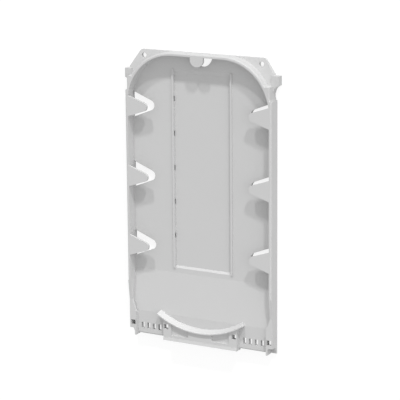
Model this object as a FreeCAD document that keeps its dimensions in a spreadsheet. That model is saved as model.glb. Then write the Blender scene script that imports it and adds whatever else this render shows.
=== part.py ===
import FreeCAD, Part
import math
import os

import Sketcher

# Fibre splice tray, one injection moulding, lying on its back.
# X runs across the tray, Y along it towards the arched end and Z out of the open side.
# Lengths are in millimetres. Heights are taken from the flat back.

SIZES = {
    # side walls and the arched end
    "wall_inner": 47.1,
    "wall_thick": 1.6,
    "arch_radius": 30.0,
    "arch_centre": 142.2,
    "rim_height": 8.4,
    "rim_round": 0.75,
    "rim_fall": 12.0,
    "wall_foot": 33.0,
    "shoulder_rise": 7.7,
    "back_round": 0.9,
    # floor, sunk splice bed and the raised entry shelf
    "floor_thick": 2.2,
    "shelf_rise": 2.4,
    "shelf_depth": 14.0,
    "shelf_drop": 0.5,
    "ramp_length": 26.0,
    "foot_round": 1.0,
    "bed_half": 18.9,
    "bed_bottom": 43.0,
    "bed_top": 8.8,
    "bed_sink": 0.9,
    "bed_ramp": 1.3,
    "bed_lead": 2.4,
    "rib_wide": 1.2,
    "rib_tall": 0.7,
    "rib_lip": 0.5,
    "notch_long": 3.2,
    "notch_deep": 0.7,
    "notch_first": 17.7,
    "notch_pitch": 20.7,
    # retaining tabs and the windows under them
    "tab_centre": 2.0,
    "tab_pitch": 42.5,
    "tab_reach": 13.0,
    "tab_round": 2.7,
    "tab_slope": 0.33,
    "tab_thick": 1.6,
    "window_shift": 0.36,
    "window_reach": 14.8,
    "window_round": 3.1,
    "window_slope": 0.397,
    "tongue_half": 4.3,
    "tongue_reach": 5.6,
    "tongue_side": 2.6,
    "tongue_end": 0.75,
    "tongue_round": 1.06,
    # corner plates at the arched end
    "ear_inset": 0.4,
    "ear_taper": 7.1,
    "ear_drop": 10.3,
    "ear_round": 2.2,
    "ear_rise": 1.8,
    "ear_fall": 1.0,
    "ear_hole_inset": 2.1,
    "ear_hole_drop": 3.6,
    "ear_hole_radius": 1.6,
    # side lugs and the gussets that carry them
    "gusset_inset": 1.2,
    "gusset_crest": 16.0,
    "lug_reach": 3.7,
    "lug_low": 14.5,
    "lug_stagger": 2.1,
    "lug_tall": 5.5,
    "lug_height": 4.0,
    "lug_flare": 4.6,
    "flare_radius": 5.2,
    # foot of the tray: posts, cable guide, clip block, tie slots
    "post_reach": 2.7,
    "post_height": 7.0,
    "post_foot": 2.9,
    "post_head": 13.0,
    "post_plate": 1.8,
    "post_chamfer": 2.0,
    "post_web": 1.0,
    "web_drop": 1.5,
    "toe_drop": 1.1,
    "toe_thick": 1.6,
    "guide_radius": 54.0,
    "guide_bottom": 5.4,
    "guide_half": 29.2,
    "guide_thick": 2.5,
    "guide_height": 8.2,
    "guide_bevel": 1.9,
    "guide_slant": 3.0,
    "block_half": 25.2,
    "block_drop": 1.7,
    "block_height": 7.5,
    "lip_rise": 0.4,
    "lip_wide": 1.9,
    "recess_inner": 8.0,
    "recess_outer": 19.7,
    "recess_low": 1.8,
    "recess_deep": 0.8,
    "socket_size": 3.1,
    "post_socket": 2.3,
    "post_socket_row": 6.4,
    "block_socket": 1.95,
    "block_socket_row": 6.7,
    "relief_drop": 1.3,
    "relief_inner": 0.4,
    "relief_outer": 0.8,
    "relief_skin": 0.6,
    "slot_inner": 29.1,
    "slot_pitch": 3.93,
    "slot_wide": 2.1,
    "slot_long": 3.8,
    "slot_row": 4.7,
}

WINDOWS = 3
NOTCHES = 5
SLOTS = 4


class Dim:
    """A length known both as a number and as the expression that yields it."""

    def __init__(self, value, text=None):
        self.value = float(value)
        self.text = repr(float(value)) if text is None else text

    @staticmethod
    def of(other):
        return other if isinstance(other, Dim) else Dim(other)

    def join(self, other, sign, value):
        return Dim(value, "(%s %s %s)" % (self.text, sign, other.text))

    def __add__(self, other):
        other = Dim.of(other)
        return self.join(other, "+", self.value + other.value)

    def __sub__(self, other):
        other = Dim.of(other)
        return self.join(other, "-", self.value - other.value)

    def __mul__(self, other):
        other = Dim.of(other)
        return self.join(other, "*", self.value * other.value)

    def __truediv__(self, other):
        other = Dim.of(other)
        return self.join(other, "/", self.value / other.value)

    def __neg__(self):
        return self * -1

    def root(self):
        return Dim(math.sqrt(self.value), "sqrt(%s)" % self.text)

    def arc_sine(self):
        return Dim(math.degrees(math.asin(self.value)), "asin(%s)" % self.text)


document = FreeCAD.newDocument("splice_tray")
sheet = document.addObject("Spreadsheet::Sheet", "dims")
for row, (alias, size) in enumerate(SIZES.items(), start=1):
    sheet.set("A%d" % row, alias)
    sheet.set("B%d" % row, str(size))
    sheet.setAlias("B%d" % row, alias)
document.recompute()
D = {alias: Dim(size, "dims." + alias) for alias, size in SIZES.items()}

body = document.addObject("PartDesign::Body", "tray")
document.recompute()
PLANES = {feature.Role: feature for feature in body.Origin.OriginFeatures}


def add_wire(sketch, points):
    """Add one closed outline. A point is (x, y) or (x, y, radius, turn): the edge
    that leaves a point with a radius is an arc, counter-clockwise when turn is 1."""
    first = sketch.GeometryCount
    count = len(points)
    starts = []
    for index, point in enumerate(points):
        target = points[(index + 1) % count]
        a = FreeCAD.Vector(point[0].value, point[1].value, 0)
        b = FreeCAD.Vector(target[0].value, target[1].value, 0)
        if len(point) == 2:
            sketch.addGeometry(Part.LineSegment(a, b), False)
            starts.append(1)
            continue
        radius, turn = point[2], point[3]
        chord = b - a
        rise = math.sqrt(max(radius.value ** 2 - (chord.Length / 2) ** 2, 0))
        normal = FreeCAD.Vector(-chord.y, chord.x, 0).normalize()
        middle = a + chord * 0.5 + normal * rise * turn
        tail, head = (a, b) if turn > 0 else (b, a)
        begin = math.atan2(tail.y - middle.y, tail.x - middle.x)
        end = math.atan2(head.y - middle.y, head.x - middle.x)
        circle = Part.Circle(middle, FreeCAD.Vector(0, 0, 1), radius.value)
        sketch.addGeometry(Part.ArcOfCircle(circle, begin, end), False)
        starts.append(1 if turn > 0 else 2)
    for index, point in enumerate(points):
        after = (index + 1) % count
        sketch.addConstraint(Sketcher.Constraint(
            "Coincident", first + index, 3 - starts[index], first + after, starts[after]))
    for index, point in enumerate(points):
        for kind, length in (("DistanceX", point[0]), ("DistanceY", point[1])):
            bind(sketch, kind, first + index, starts[index], length)
        if len(point) > 2:
            number = sketch.addConstraint(
                Sketcher.Constraint("Radius", first + index, point[2].value))
            sketch.setExpression("Constraints[%d]" % number, point[2].text)


def bind(sketch, kind, curve, end, length):
    """Hold one coordinate of a point at a length measured from the origin."""
    number = sketch.addConstraint(
        Sketcher.Constraint(kind, -1, 1, curve, end, length.value))
    sketch.setExpression("Constraints[%d]" % number, length.text)


def add_circle(sketch, x, y, radius):
    """Add one circle held at x, y."""
    centre = FreeCAD.Vector(x.value, y.value, 0)
    curve = sketch.addGeometry(
        Part.Circle(centre, FreeCAD.Vector(0, 0, 1), radius.value), False)
    bind(sketch, "DistanceX", curve, 3, x)
    bind(sketch, "DistanceY", curve, 3, y)
    number = sketch.addConstraint(Sketcher.Constraint("Radius", curve, radius.value))
    sketch.setExpression("Constraints[%d]" % number, radius.text)


def new_sketch(name, plane, offset, wires):
    """Make a sketch on one plane of the body, moved along its normal by offset."""
    sketch = body.newObject("Sketcher::SketchObject", name)
    sketch.AttachmentSupport = (PLANES[plane], [""])
    sketch.MapMode = "FlatFace"
    sketch.setExpression("AttachmentOffset.Base.z", offset.text)
    for wire in wires:
        add_wire(sketch, wire)
    return sketch


VOLUME = [0.0]


def check_step(feature, adds):
    """Recompute and make sure the step changed the volume the right way."""
    document.recompute()
    after = feature.Shape.Volume
    if not feature.Shape.isValid():
        raise RuntimeError(feature.Name + " is not valid")
    if adds != (after > VOLUME[-1]):
        raise RuntimeError("%s went from %.1f to %.1f" % (feature.Name, VOLUME[-1], after))
    VOLUME.append(after)


def pad(name, base, height, wires, plane="XY_Plane"):
    """Add material from the level base over the given height."""
    sketch = new_sketch(name + "_outline", plane, base, wires)
    feature = body.newObject("PartDesign::Pad", name)
    feature.Profile = sketch
    feature.Length = height.value
    feature.setExpression("Length", height.text)
    check_step(feature, True)


def pocket(name, top, depth, wires, circles=()):
    """Cut from the level top downwards over the given depth."""
    sketch = new_sketch(name + "_outline", "XY_Plane", top, wires)
    for circle in circles:
        add_circle(sketch, *circle)
    feature = body.newObject("PartDesign::Pocket", name)
    feature.Profile = sketch
    feature.Length = depth.value
    feature.setExpression("Length", depth.text)
    check_step(feature, False)


def through(name, start, width, profile):
    """Cut a side profile across the tray, from start over the given width."""
    feature = body.newObject("PartDesign::Pocket", name)
    feature.Profile = new_sketch(name + "_outline", "YZ_Plane", start, [profile])
    feature.Reversed = True
    feature.Length = width.value
    feature.setExpression("Length", width.text)
    check_step(feature, False)


def side_pads(name, inner, thick, profile):
    """Add one side profile on the right and on the left of the tray."""
    pad(name + "_right", inner, thick, [profile], "YZ_Plane")
    pad(name + "_left", -(inner + thick), thick, [profile], "YZ_Plane")


def turned(name, axis, angle, profile):
    """Turn a side profile about an upright axis, half the angle to each side. The
    profile's first coordinates are measured from the axis."""
    sketch = new_sketch(name + "_outline", "YZ_Plane", ZERO, [profile])
    sketch.setExpression("AttachmentOffset.Base.x", axis.text)
    feature = body.newObject("PartDesign::Revolution", name)
    feature.Profile = sketch
    feature.ReferenceAxis = (sketch, ["V_Axis"])
    feature.Midplane = True
    feature.Angle = angle.value
    feature.setExpression("Angle", angle.text)
    check_step(feature, True)


def round_edges(name, radius, chosen):
    """Round the edges of the solid so far whose end points and middle are chosen."""
    base = body.Tip
    names = []
    for number, edge in enumerate(base.Shape.Edges, start=1):
        low, high = edge.ParameterRange
        if chosen(edge.valueAt(low), edge.valueAt((low + high) / 2), edge.valueAt(high)):
            names.append("Edge%d" % number)
    feature = body.newObject("PartDesign::Fillet", name)
    feature.Base = (base, names)
    feature.Radius = radius.value
    feature.setExpression("Radius", radius.text)
    document.recompute()
    if not names or not feature.Shape.isValid():
        raise RuntimeError(name + " could not be rounded")
    VOLUME.append(feature.Shape.Volume)


def near(a, b):
    """True when two numbers agree within a hundredth of a millimetre."""
    return abs(a - b) < 0.01


def mirrored(wire):
    """The same outline on the other side of the tray, in the same turning sense."""
    count = len(wire)
    result = []
    for index in range(count):
        point = wire[(-index) % count]
        leaving = wire[(-index - 1) % count]
        flipped = (-point[0], point[1])
        result.append(flipped + tuple(leaving[2:]))
    return result


def both(wire):
    """An outline and its mirror image."""
    return [wire, mirrored(wire)]


def box(left, right, low, high):
    """A rectangle, counter-clockwise."""
    return [(left, low), (right, low), (right, high), (left, high)]


ZERO = Dim(0)
OVER = Dim(1)
outer_x = D["wall_inner"] + D["wall_thick"]
outer_radius = D["arch_radius"] + D["wall_thick"]
arch_x = D["wall_inner"] - D["arch_radius"]
inner_top = D["arch_centre"] + D["arch_radius"]
outer_top = inner_top + D["wall_thick"]
shoulder = D["arch_centre"] + D["shoulder_rise"]
shoulder_x = arch_x + (outer_radius * outer_radius - D["shoulder_rise"] * D["shoulder_rise"]).root()
ramp_head = D["shelf_depth"] + D["ramp_length"]
shelf_top = D["shelf_rise"] + D["floor_thick"]
bed_level = D["floor_thick"] - D["bed_sink"]
post_inner = D["wall_inner"] - D["post_reach"]

# Floor: a flat plate that rises over a ramp to the entry shelf at the foot.
floor_profile = [
    (-D["shelf_drop"], D["shelf_rise"]),
    (D["shelf_depth"], D["shelf_rise"]),
    (ramp_head, ZERO),
    (outer_top, ZERO),
    (outer_top, D["floor_thick"]),
    (ramp_head, D["floor_thick"]),
    (D["shelf_depth"], shelf_top),
    (-D["shelf_drop"], shelf_top),
]
pad("floor", -outer_x, outer_x * 2, [floor_profile], "YZ_Plane")

# Plan outline of the corner plates, cut from the square end of the floor.
ear_side = outer_x - D["ear_inset"]
ear_top = ear_side - D["ear_taper"]
ear_low = outer_top - D["ear_drop"]
gusset_x = outer_x - D["gusset_inset"]
lug_low = D["arch_centre"] + D["lug_low"]
lug_high = lug_low + D["lug_stagger"]
clear = outer_x + OVER
ear_edge = [
    (ear_top, outer_top),
    (ear_side, ear_low),
    (ear_side, lug_high),
    (gusset_x, lug_high),
    (gusset_x, shoulder),
]
corner = [(clear, outer_top + OVER), (ear_top, outer_top + OVER)] + ear_edge
corner += [(clear, shoulder)]
pocket("corner_cut", D["floor_thick"] + OVER, D["floor_thick"] + OVER * 2, both(corner))

# Gussets between the corner plates and the walls, cut down to the plates' sloping tops.
crest = D["arch_centre"] + D["gusset_crest"]
gusset_in = gusset_x - D["arch_radius"] / 2
gusset = [(gusset_in, outer_top), (gusset_in, shoulder)] + ear_edge[::-1]
pad("gussets", ZERO, D["rim_height"], both(gusset))
slope = [
    (crest, D["floor_thick"] + D["ear_rise"]),
    (outer_top, D["floor_thick"] - D["ear_fall"]),
    (outer_top + OVER, D["floor_thick"] - D["ear_fall"]),
    (outer_top + OVER, D["rim_height"] + OVER),
    (crest, D["rim_height"] + OVER),
]
through("ear_slope", -clear, clear * 2, slope)
round_edges("corner_round", D["ear_round"], lambda a, m, b: (
    near(a.x, b.x) and near(a.y, b.y) and near(abs(m.x), ear_top.value)
    and near(m.y, outer_top.value)))

# The front edge of the shelf's foot is rounded.
round_edges("shelf_round", D["foot_round"], lambda a, m, b: (
    near(a.y, -D["shelf_drop"].value) and near(b.y, a.y) and near(a.z, shelf_top.value)
    and near(b.z, shelf_top.value)))

# Room under the post plates, so the foot of the shelf stands between the posts.
undercut = box(post_inner, clear, -(D["shelf_drop"] + OVER), D["post_head"])
pocket("post_room", shelf_top + OVER, shelf_top + OVER * 2, both(undercut))

# Inside of the arch, cleared of the gussets' inner ends.
room_radius = D["arch_radius"] + D["wall_thick"] / 2
room_x = arch_x + room_radius
room = [
    (room_x, D["arch_centre"], room_radius, 1),
    (arch_x, D["arch_centre"] + room_radius),
    (-arch_x, D["arch_centre"] + room_radius, room_radius, 1),
    (-room_x, D["arch_centre"]),
]
pocket("arch_room", D["rim_height"] + OVER, D["rim_height"] + OVER - D["floor_thick"], [room])
pad("arch_floor", ZERO, D["floor_thick"], [room])

# Side walls and arch, one ring that is open at the foot.
ring = [
    (outer_x, D["wall_foot"]),
    (outer_x, shoulder),
    (shoulder_x, shoulder, outer_radius, 1),
    (arch_x, outer_top),
    (-arch_x, outer_top, outer_radius, 1),
    (-shoulder_x, shoulder),
    (-outer_x, shoulder),
    (-outer_x, D["wall_foot"]),
    (-D["wall_inner"], D["wall_foot"]),
    (-D["wall_inner"], D["arch_centre"], D["arch_radius"], -1),
    (-arch_x, inner_top),
    (arch_x, inner_top, D["arch_radius"], -1),
    (D["wall_inner"], D["arch_centre"]),
    (D["wall_inner"], D["wall_foot"]),
]
pad("wall", ZERO, D["rim_height"], [ring])


def on_outer_rim(a, m, b):
    """True for the edges along the outside of the rim, which are rounded."""
    top = D["rim_height"].value
    if not (near(a.z, top) and near(b.z, top)):
        return False
    if near(a.x, b.x):
        return abs(m.x) > gusset_x.value - 0.01
    from_arch = math.hypot(abs(m.x) - arch_x.value, m.y - D["arch_centre"].value)
    on_arch = near(from_arch, outer_radius.value)
    return m.y > shoulder.value and (on_arch or near(m.y, outer_top.value))


round_edges("rim_rounding", D["rim_round"], on_outer_rim)

# Lower end of the side walls, which falls from the rim to the level of the posts.
low_wall = [
    (-D["toe_drop"], ZERO),
    (D["wall_foot"], ZERO),
    (D["wall_foot"], D["rim_height"]),
    (D["wall_foot"] - D["rim_fall"], D["post_height"]),
    (D["post_foot"], D["post_height"]),
    (D["post_foot"], D["toe_thick"] * 2),
    (-D["toe_drop"], D["toe_thick"]),
]
side_pads("low_wall", D["wall_inner"], D["wall_thick"], low_wall)

# The long outer edges of the back are rounded.
round_edges("back_rounding", D["back_round"], lambda a, m, b: (
    near(a.z, 0) and near(b.z, 0) and near(a.x, b.x)
    and abs(m.x) > gusset_x.value - 0.01 and m.y < lug_low.value))

# Toe plate behind each post.
toe = box(post_inner, D["wall_inner"] + D["wall_thick"] / 4, -D["toe_drop"],
          D["post_head"] + OVER)
pad("toe", ZERO, D["toe_thick"], both(toe))

# Front plate of each post, which narrows into the side wall.
post_out = D["wall_inner"] + D["wall_thick"] / 2
post = [
    (post_inner, D["post_foot"] - D["post_chamfer"]),
    (post_inner + D["post_chamfer"], D["post_foot"]),
    (post_out, D["post_foot"]),
    (post_out, D["wall_foot"] - D["rim_fall"]),
    (D["wall_inner"], D["wall_foot"] - D["rim_fall"]),
    (post_inner, D["post_head"]),
]
pad("post", D["post_height"] - D["post_plate"], D["post_plate"], both(post))

# Web along the inner edge of each post. Its lower end leans out towards the front.
web = [
    (-D["toe_drop"], D["toe_thick"] / 2),
    (D["post_head"], D["toe_thick"] / 2),
    (D["post_head"], D["post_height"]),
    (-D["web_drop"], D["post_height"]),
    (-D["toe_drop"], D["toe_thick"]),
]
side_pads("post_web", post_inner, D["post_web"], web)

# Clip block at the foot, below the curved guide. A lip runs along its lower edge and
# its face has two recesses.
guide_y = D["guide_bottom"] + D["guide_radius"]
seat = D["guide_radius"] - D["guide_thick"] / 4
block_rise = (seat * seat - D["block_half"] * D["block_half"]).root()
block_face = D["block_height"] - D["lip_rise"]
block = [
    (-D["block_half"], -D["block_drop"]),
    (D["block_half"], -D["block_drop"]),
    (D["block_half"], guide_y - block_rise, seat, -1),
    (-D["block_half"], guide_y - block_rise),
]
pad("block", D["shelf_rise"], block_face - D["shelf_rise"], [block])
lip = [
    (-D["block_drop"], D["shelf_rise"]),
    (D["lip_wide"] - D["block_drop"], D["shelf_rise"]),
    (D["lip_wide"] - D["block_drop"], block_face),
    (-D["block_drop"], D["block_height"]),
]
pad("block_lip", -D["block_half"], D["block_half"] * 2, [lip], "YZ_Plane")
recess_rise = (seat * seat - D["recess_outer"] * D["recess_outer"]).root()
recess = box(D["recess_inner"], D["recess_outer"], D["recess_low"], guide_y - recess_rise)
pocket("block_recesses", block_face + OVER, D["recess_deep"] + OVER, both(recess))

# Curved guide wall, which slants on its inner side.
guide_in = D["guide_radius"] - D["guide_thick"]
guide_base = D["shelf_rise"] + D["floor_thick"] / 4
guide = [
    (-D["guide_radius"], guide_base),
    (-guide_in, guide_base),
    (-guide_in, D["guide_height"] - D["guide_slant"]),
    (-(guide_in + D["guide_bevel"]), D["guide_height"]),
    (-D["guide_radius"], D["guide_height"]),
]
turned("guide", guide_y, (D["guide_half"] / D["guide_radius"]).arc_sine() * 2, guide)


# Retaining tabs at rim level, and the windows under them.
def pointed(reach, rounding, slope, root, middle):
    """A wedge that points inwards from the right-hand wall, with a round tip."""
    steep = (slope * slope + 1).root()
    centre_x = D["wall_inner"] - reach + rounding
    tangent_x = centre_x - rounding * slope / steep
    tangent_y = rounding / steep
    root_y = tangent_y + slope * (root - tangent_x)
    return [
        (root, middle - root_y),
        (root, middle + root_y),
        (tangent_x, middle + tangent_y, rounding, 1),
        (tangent_x, middle - tangent_y),
    ]


tab_wires = []
window_wires = []
for number in range(WINDOWS):
    middle = D["arch_centre"] - D["tab_centre"] - D["tab_pitch"] * number
    root = D["wall_inner"] + D["wall_thick"] / 2
    tab_wires += both(pointed(D["tab_reach"], D["tab_round"], D["tab_slope"], root, middle))
    window_wires += both(pointed(
        D["window_reach"], D["window_round"], D["window_slope"], D["wall_inner"],
        middle + D["window_shift"]))
pad("tabs", D["rim_height"] - D["tab_thick"], D["tab_thick"], tab_wires)
pocket("windows", D["floor_thick"] + OVER / 2, D["floor_thick"] + OVER, window_wires)


# Tongue in the middle of the arch, and the half-round window behind it.
def tongue_shape(half, tip, root):
    """A strip with a round end that points down the tray."""
    rounding = half * D["tongue_round"]
    shoulder_y = tip + rounding - (rounding * rounding - half * half).root()
    return [
        (-half, root),
        (-half, shoulder_y, rounding, 1),
        (half, shoulder_y),
        (half, root),
    ]


tongue_tip = inner_top - D["tongue_reach"]
tongue_root = inner_top + D["wall_thick"] / 4
tongue = tongue_shape(D["tongue_half"], tongue_tip, tongue_root)
pad("tongue", D["rim_height"] - D["tab_thick"], D["tab_thick"], [tongue])
mouth = tongue_shape(
    D["tongue_half"] + D["tongue_side"], tongue_tip - D["tongue_end"], inner_top)
pocket("tongue_window", D["floor_thick"] + OVER / 2, D["floor_thick"] + OVER, [mouth])

# Ribs along the bed, then the sunk bed itself with its sloped ends.
bed_top = inner_top - D["bed_top"]
rib_top = D["floor_thick"] + D["rib_tall"]
rib = box(D["bed_half"], D["bed_half"] + D["rib_wide"], D["bed_bottom"], bed_top)
pad("ribs", D["floor_thick"] / 2, D["floor_thick"] / 2 + D["rib_tall"], both(rib))
bed_profile = [
    (D["bed_bottom"] + D["bed_ramp"], bed_level),
    (bed_top - D["bed_lead"], bed_level),
    (bed_top, D["floor_thick"]),
    (bed_top, D["floor_thick"] + OVER),
    (D["bed_bottom"] - OVER * D["bed_ramp"] / D["bed_sink"], D["floor_thick"] + OVER),
]
through("bed", -D["bed_half"], D["bed_half"] * 2, bed_profile)

# Catches for the splice holder: slots from the back that end under the ribs' lips.
notch_wires = []
for number in range(NOTCHES):
    middle = bed_top - D["notch_first"] - D["notch_pitch"] * number
    half = D["notch_long"] / 2
    notch_wires += both(box(
        D["bed_half"], D["bed_half"] + D["notch_deep"], middle - half, middle + half))
pocket("notches", rib_top - D["rib_lip"], rib_top, notch_wires)


# Lugs outside the gussets. The right-hand one stands a little nearer the arched end.
def lug_outline(low):
    """A lug with a curved flare below it, on the right-hand side."""
    side = gusset_x + D["lug_reach"]
    root = gusset_x - D["gusset_inset"]
    return [
        (root, low - D["lug_flare"]),
        (gusset_x, low - D["lug_flare"], D["flare_radius"], -1),
        (side, low),
        (side, low + D["lug_tall"]),
        (root, low + D["lug_tall"]),
    ]


right_lug = lug_outline(lug_high)
left_lug = mirrored(lug_outline(lug_low))
pad("lugs", ZERO, D["lug_height"], [right_lug, left_lug])

# Holes: round ones in the corner plates, square sockets and tie slots at the foot.
ear_hole_x = ear_top - D["ear_hole_inset"]
ear_hole_y = outer_top - D["ear_hole_drop"]
pocket("ear_holes", D["floor_thick"] + OVER, D["floor_thick"] + OVER * 2, [], [
    (ear_hole_x, ear_hole_y, D["ear_hole_radius"]),
    (-ear_hole_x, ear_hole_y, D["ear_hole_radius"]),
])
half = D["socket_size"] / 2
post_centre = outer_x - D["post_socket"]
block_centre = D["block_half"] - D["block_socket"]
socket_wires = []
relief_wires = []
for centre, middle, inner, outer in (
        (post_centre, D["post_socket_row"], post_inner, post_centre + half),
        (block_centre, D["block_socket_row"],
         block_centre - half - D["relief_inner"], D["block_half"] + D["relief_outer"])):
    low = middle - half
    high = middle + half
    socket_wires += both(box(centre - half, centre + half, low, high))
    relief_wires += both(box(inner, outer, low - D["relief_drop"], high))
pocket("sockets", D["rim_height"] + OVER, D["rim_height"] + OVER * 2, socket_wires)
relief_top = shelf_top - D["relief_skin"]
pocket("socket_reliefs", relief_top, relief_top + OVER, relief_wires)
slot_wires = []
for number in range(SLOTS):
    centre = D["slot_inner"] + D["slot_pitch"] * number
    wide = D["slot_wide"] / 2
    tall = D["slot_long"] / 2
    slot_wires += both(box(
        centre - wide, centre + wide, D["slot_row"] - tall, D["slot_row"] + tall))
pocket("tie_slots", shelf_top + OVER, shelf_top + OVER, slot_wires)

# The frame's origin is under the middle of the tray.
middle_y = (outer_top - D["block_drop"]) / 2
body.setExpression("Placement.Base.y", (-middle_y).text)
document.recompute()

for item in document.Objects:
    if "Invalid" in item.State or "Error" in item.State:
        raise RuntimeError(item.Name + " did not recompute")
    shape = getattr(item, "Shape", None)
    if shape is not None and item.isDerivedFrom("PartDesign::Feature"):
        if shape.isNull() or not shape.isValid():
            raise RuntimeError(item.Name + " has a bad shape")

os.makedirs("parts", exist_ok=True)
tray = body.Shape
if tray.isNull() or not tray.isValid() or len(tray.Solids) != 1:
    raise RuntimeError("the tray is not one sound solid")
tray.exportStep("parts/tray.step")
bounds = tray.optimalBoundingBox(False)
print("tray %.2f x %.2f x %.2f, volume %.0f" % (
    bounds.XLength, bounds.YLength, bounds.ZLength, tray.Volume))
print("y %.2f to %.2f, z %.2f to %.2f" % (bounds.YMin, bounds.YMax, bounds.ZMin, bounds.ZMax))
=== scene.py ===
import logging
import math
from dataclasses import dataclass, field
from enum import Enum
from typing import Any, Optional, Union

import bpy
from mathutils import Matrix, Vector


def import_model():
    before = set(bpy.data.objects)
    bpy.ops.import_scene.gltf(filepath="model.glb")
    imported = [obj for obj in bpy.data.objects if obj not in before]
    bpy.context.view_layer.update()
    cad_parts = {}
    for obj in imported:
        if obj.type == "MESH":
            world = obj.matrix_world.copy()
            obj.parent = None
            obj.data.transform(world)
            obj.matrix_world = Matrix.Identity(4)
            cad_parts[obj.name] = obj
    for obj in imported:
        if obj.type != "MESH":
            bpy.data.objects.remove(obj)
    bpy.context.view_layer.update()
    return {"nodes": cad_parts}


LOG = logging.getLogger("splice_tray")

Colour = tuple[float, float, float, float]
Triple = tuple[float, float, float]
SocketKey = Union[str, int]

MM = 0.001
OPAQUE = 1.0
WHITE = (1.0, 1.0, 1.0, OPAQUE)

# A colour's hex digits stand in pairs, and each pair counts up to BYTE_TOP.
HEX_BASE = 16
HEX_PAIRS = (slice(0, 2), slice(2, 4), slice(4, 6))
BYTE_TOP = 255

# The sRGB curve is a straight line at its dark end and a power above that.
SRGB_LINE_END = 0.04045
SRGB_LINE_SLOPE = 12.92
SRGB_OFFSET = 0.055
SRGB_POWER = 2.4

# A Mix node has several sockets of each name, so its colours go by number.
MIX_SHARE = 0
MIX_FIRST = 6
MIX_SECOND = 7
MIX_RESULT = 2


class Sight(Enum):
    """The rays by which a thing is seen, and not only lights what is near it."""

    STRAIGHT = "Is Camera Ray"
    MIRRORED = "Is Glossy Ray"
    THROUGH = "Is Transmission Ray"


def linear(hex_colour: str) -> Colour:
    """Turn an sRGB hex colour into linear values.

    Args:
        hex_colour: Six hex digits, with or without a leading hash.

    Returns:
        Red, green, blue and an alpha of 1.
    """
    digits = hex_colour.lstrip("#")
    values = [int(digits[pair], HEX_BASE) / BYTE_TOP for pair in HEX_PAIRS]
    red, green, blue = (
        value / SRGB_LINE_SLOPE if value <= SRGB_LINE_END
        else ((value + SRGB_OFFSET) / (1 + SRGB_OFFSET)) ** SRGB_POWER
        for value in values
    )
    return red, green, blue, OPAQUE


def add_node(
    tree: bpy.types.NodeTree,
    kind: str,
    values: Optional[dict[SocketKey, Any]] = None,
    links: Optional[dict[SocketKey, bpy.types.NodeSocket]] = None,
    **settings: Any,
) -> bpy.types.Node:
    """Add one shader node with its settings, socket values and incoming links.

    Args:
        tree: The node tree that receives the node.
        kind: The name of the node's type, such as ShaderNodeMath.
        values: Input socket name or number, and the value it holds.
        links: Input socket name or number, and the output that feeds it.
        settings: Properties of the node itself.

    Returns:
        The new node.
    """
    node = tree.nodes.new(kind)
    for name, setting in settings.items():
        setattr(node, name, setting)
    for name, value in (values or {}).items():
        node.inputs[name].default_value = value
    for name, source in (links or {}).items():
        tree.links.new(source, node.inputs[name])
    return node


def mix_by_sight(
    tree: bpy.types.NodeTree,
    unseen: bpy.types.NodeSocket,
    seen: bpy.types.NodeSocket,
) -> bpy.types.NodeSocket:
    """Mix two shaders by whether a ray sees the thing or only carries its light.

    Args:
        tree: The node tree of the paper or the sky.
        unseen: The shader for the rays that only carry light.
        seen: The shader for every kind of ray in Sight.

    Returns:
        The output socket of the mix.
    """
    path = add_node(tree, "ShaderNodeLightPath")
    kinds = [path.outputs[sight.value] for sight in Sight]
    share = kinds[0]
    for kind in kinds[1:]:
        either = add_node(
            tree, "ShaderNodeMath", links={0: share, 1: kind}, operation="MAXIMUM")
        share = either.outputs["Value"]
    mix = add_node(tree, "ShaderNodeMixShader", links={0: share, 1: unseen, 2: seen})
    return mix.outputs["Shader"]


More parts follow.
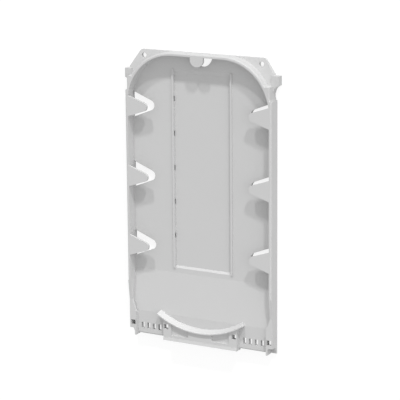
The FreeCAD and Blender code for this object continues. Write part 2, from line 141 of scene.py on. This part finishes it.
@dataclass(frozen=True)
class MouldedPlastic:
    """Light grey polycarbonate blend, injection moulded in a finely spark-eroded mould.

    The eye sees an even, satin grey. Broad soft highlights show on the rims, and the
    large flat floor carries the faint waviness and grain that the mould leaves.
    """

    name: str = "polycarbonate_blend_moulded"
    colour: str = "#c9c9c9"
    refraction: float = 1.58
    metal: float = 0.0
    roughness: float = 0.58
    roughness_spread: float = 0.05
    # The real grain is near 0.05 mm and too fine to show, so it is drawn coarser.
    grain_mm: float = 0.9
    grain_depth_mm: float = 0.012
    grain_detail: float = 3.0
    grain_roughness: float = 0.55
    # The grain's noise lies mostly between these two values.
    grain_low: float = 0.3
    grain_high: float = 0.7
    # The melt's flow varies the grey by this share, over about this length.
    flow_mm: float = 34.0
    flow_share: float = 0.012
    flow_detail: float = 2.0
    flow_roughness: float = 0.5

    def build(self) -> bpy.types.Material:
        """Make the material.

        Returns:
            The material, with every pattern in object coordinates.
        """
        material = bpy.data.materials.new(self.name)
        material.use_nodes = True
        tree = material.node_tree
        tree.nodes.clear()
        place = add_node(tree, "ShaderNodeTexCoord")
        mapping = add_node(
            tree, "ShaderNodeMapping", links={"Vector": place.outputs["Object"]})
        mapped = mapping.outputs["Vector"]
        grain = self._grain(tree, mapped)
        rough = add_node(
            tree, "ShaderNodeMapRange",
            values={
                "From Min": self.grain_low,
                "From Max": self.grain_high,
                "To Min": self.roughness - self.roughness_spread,
                "To Max": self.roughness + self.roughness_spread,
            },
            links={"Value": grain})
        relief = add_node(
            tree, "ShaderNodeBump",
            values={"Distance": self.grain_depth_mm * MM},
            links={"Height": grain})
        shader = add_node(
            tree, "ShaderNodeBsdfPrincipled",
            values={"IOR": self.refraction, "Metallic": self.metal},
            links={
                "Base Color": self._grey(tree, mapped),
                "Roughness": rough.outputs["Result"],
                "Normal": relief.outputs["Normal"],
            })
        add_node(
            tree, "ShaderNodeOutputMaterial",
            links={"Surface": shader.outputs["BSDF"]})
        return material

    def _grey(
        self, tree: bpy.types.NodeTree, mapped: bpy.types.NodeSocket
    ) -> bpy.types.NodeSocket:
        """Vary the grey a little over the tray, as the melt's flow does.

        Args:
            tree: The material's node tree.
            mapped: The socket that gives the position.

        Returns:
            The socket that gives the colour.
        """
        flow = add_node(
            tree, "ShaderNodeTexNoise",
            values={
                "Scale": 1 / (self.flow_mm * MM),
                "Detail": self.flow_detail,
                "Roughness": self.flow_roughness,
            },
            links={"Vector": mapped})
        mix = add_node(
            tree, "ShaderNodeMix",
            values={
                MIX_FIRST: self._lightened(-self.flow_share),
                MIX_SECOND: self._lightened(self.flow_share),
            },
            links={MIX_SHARE: flow.outputs["Fac"]},
            data_type="RGBA")
        return mix.outputs[MIX_RESULT]

    def _lightened(self, share: float) -> Colour:
        """Make the plastic's own grey lighter by a share, or darker by one below zero."""
        red, green, blue, alpha = linear(self.colour)
        return red * (1 + share), green * (1 + share), blue * (1 + share), alpha

    def _grain(
        self, tree: bpy.types.NodeTree, mapped: bpy.types.NodeSocket
    ) -> bpy.types.NodeSocket:
        """Make the spark-eroded grain.

        Args:
            tree: The material's node tree.
            mapped: The socket that gives the position.

        Returns:
            The socket that gives the grain's height.
        """
        noise = add_node(
            tree, "ShaderNodeTexNoise",
            values={
                "Scale": 1 / (self.grain_mm * MM),
                "Detail": self.grain_detail,
                "Roughness": self.grain_roughness,
            },
            links={"Vector": mapped})
        return noise.outputs["Fac"]


@dataclass(frozen=True)
class StudioPaper:
    """Matt white paper under the tray.

    The eye sees white where light falls, and a faint grey where the tray shades it.
    What the paper throws back on the tray is the light of a plain pale paper.
    """

    name: str = "matt_white_paper"
    colour: str = "#c4c4c4"
    # Where it is seen, the light on this grey and the glow add up to white.
    seen_colour: str = "#888888"
    glow: float = 0.82

    def build(self) -> bpy.types.Material:
        """Make the floor's material.

        Returns:
            A diffuse paper that the camera, mirrors and clear pieces see as white.
        """
        material = bpy.data.materials.new(self.name)
        material.use_nodes = True
        tree = material.node_tree
        tree.nodes.clear()
        pale = add_node(
            tree, "ShaderNodeBsdfDiffuse", values={"Color": linear(self.colour)})
        shaded = add_node(
            tree, "ShaderNodeBsdfDiffuse", values={"Color": linear(self.seen_colour)})
        glow = add_node(
            tree, "ShaderNodeEmission", values={"Color": WHITE, "Strength": self.glow})
        white = add_node(
            tree, "ShaderNodeAddShader",
            links={0: shaded.outputs["BSDF"], 1: glow.outputs["Emission"]})
        surface = mix_by_sight(tree, pale.outputs["BSDF"], white.outputs["Shader"])
        add_node(tree, "ShaderNodeOutputMaterial", links={"Surface": surface})
        return material


@dataclass
class Tray:
    """The one moulding: its mesh comes from the solids, and this dresses it."""

    finish: MouldedPlastic = field(default_factory=MouldedPlastic)
    node: str = "tray"

    def dress(self, nodes: dict[str, bpy.types.Object]) -> None:
        """Give the moulding its finish.

        Args:
            nodes: The CAD nodes by name.
        """
        moulding = nodes[self.node]
        moulding.data.materials.clear()
        moulding.data.materials.append(self.finish.build())
        LOG.info("dressed %s with %s", self.node, self.finish.name)


@dataclass(frozen=True)
class DistantLamp:
    """A lamp so far off that its light comes from one direction all over the tray.

    The direction points from the tray to the lamp. The width is the angle over which
    the lamp's light comes, in degrees, and it softens the edges of the shadows.
    """

    name: str
    direction: Triple
    strength: float
    width: float

    def hang(self) -> None:
        """Hang the lamp so that it shines on the tray."""
        data = bpy.data.lights.new(self.name, "SUN")
        data.energy = self.strength
        data.angle = math.radians(self.width)
        lamp = bpy.data.objects.new(self.name, data)
        bpy.context.scene.collection.objects.link(lamp)
        towards = Vector(self.direction).normalized()
        lamp.location = towards
        lamp.rotation_mode = "QUATERNION"
        lamp.rotation_quaternion = towards.to_track_quat("Z", "Y")
        LOG.info("hung %s", self.name)


@dataclass
class Studio:
    """The plain set: paper, lamps and an even sky. Lengths are in metres."""

    paper: StudioPaper = field(default_factory=StudioPaper)
    paper_size: float = 3.0
    paper_drop: float = 0.0002
    # Both keys shine low from beyond the arched end, so the tray shades its own floor.
    lamps: tuple[DistantLamp, ...] = (
        DistantLamp("key_right", (1.05, 2.35, 1.0), 1.26, 3.5),
        DistantLamp("key_top", (-0.15, 2.30, 1.0), 1.15, 3.5),
        DistantLamp("fill_right", (0.95, 0.10, 0.55), 0.61, 60.0),
    )
    sky_strength: float = 0.575
    # A strength of 1 is white.
    seen_sky_strength: float = 1.0

    def build(self) -> None:
        """Make the paper, the lamps and the sky."""
        self._lay_paper()
        for lamp in self.lamps:
            lamp.hang()
        self._make_sky()

    def _lay_paper(self) -> None:
        """Lay the paper just under the tray's back."""
        bpy.ops.mesh.primitive_plane_add(
            size=self.paper_size, location=(0, 0, -self.paper_drop))
        paper = bpy.context.object
        paper.name = "paper"
        paper.data.materials.append(self.paper.build())
        LOG.info("laid %s", paper.name)

    def _make_sky(self) -> None:
        """Make an even sky that reads as white where it is seen."""
        world = bpy.data.worlds.new("studio")
        world.use_nodes = True
        tree = world.node_tree
        tree.nodes.clear()
        even, white = (
            add_node(
                tree, "ShaderNodeBackground",
                values={"Color": WHITE, "Strength": strength})
            for strength in (self.sky_strength, self.seen_sky_strength)
        )
        surface = mix_by_sight(
            tree, even.outputs["Background"], white.outputs["Background"])
        add_node(tree, "ShaderNodeOutputWorld", links={"Surface": surface})
        bpy.context.scene.world = world
        LOG.info("made the sky")


@dataclass
class Viewpoint:
    """The photograph's camera, as fitted to the moulding's edges.

    Places are in metres, the lens and its sensor in millimetres, the roll in degrees.
    The direction points from the target to the camera.
    """

    target: Triple = (-0.0030, -0.0002, 0.0)
    direction: Triple = (0.4790, 0.2255, 0.8483)
    # The photograph has the arched end at its top.
    upwards: Triple = (0.0, 1.0, 0.0)
    distance: float = 1.1142
    roll: float = -0.47
    lens: float = 169.36
    sensor: float = 36.0
    near: float = 0.05
    far: float = 20.0

    def build(self) -> None:
        """Make the camera and set it as the scene's."""
        data = bpy.data.cameras.new("photo")
        data.lens = self.lens
        data.sensor_width = self.sensor
        data.clip_start = self.near
        data.clip_end = self.far
        camera = bpy.data.objects.new("photo", data)
        bpy.context.scene.collection.objects.link(camera)
        back = Vector(self.direction).normalized()
        right = Vector(self.upwards).cross(back).normalized()
        up = back.cross(right)
        turn = math.radians(self.roll)
        right, up = (
            right * math.cos(turn) + up * math.sin(turn),
            up * math.cos(turn) - right * math.sin(turn),
        )
        camera.location = Vector(self.target) + back * self.distance
        axes = Matrix((right, up, back)).transposed()
        camera.rotation_mode = "QUATERNION"
        camera.rotation_quaternion = axes.to_quaternion()
        bpy.context.scene.camera = camera
        LOG.info("placed the camera")


def main() -> None:
    """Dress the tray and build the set."""
    logging.basicConfig(level=logging.INFO, format="%(message)s")
    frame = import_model()
    Tray().dress(frame["nodes"])
    Studio().build()
    Viewpoint().build()
    scene = bpy.context.scene
    scene.view_settings.view_transform = "Standard"


if __name__ == "__main__":
    main()
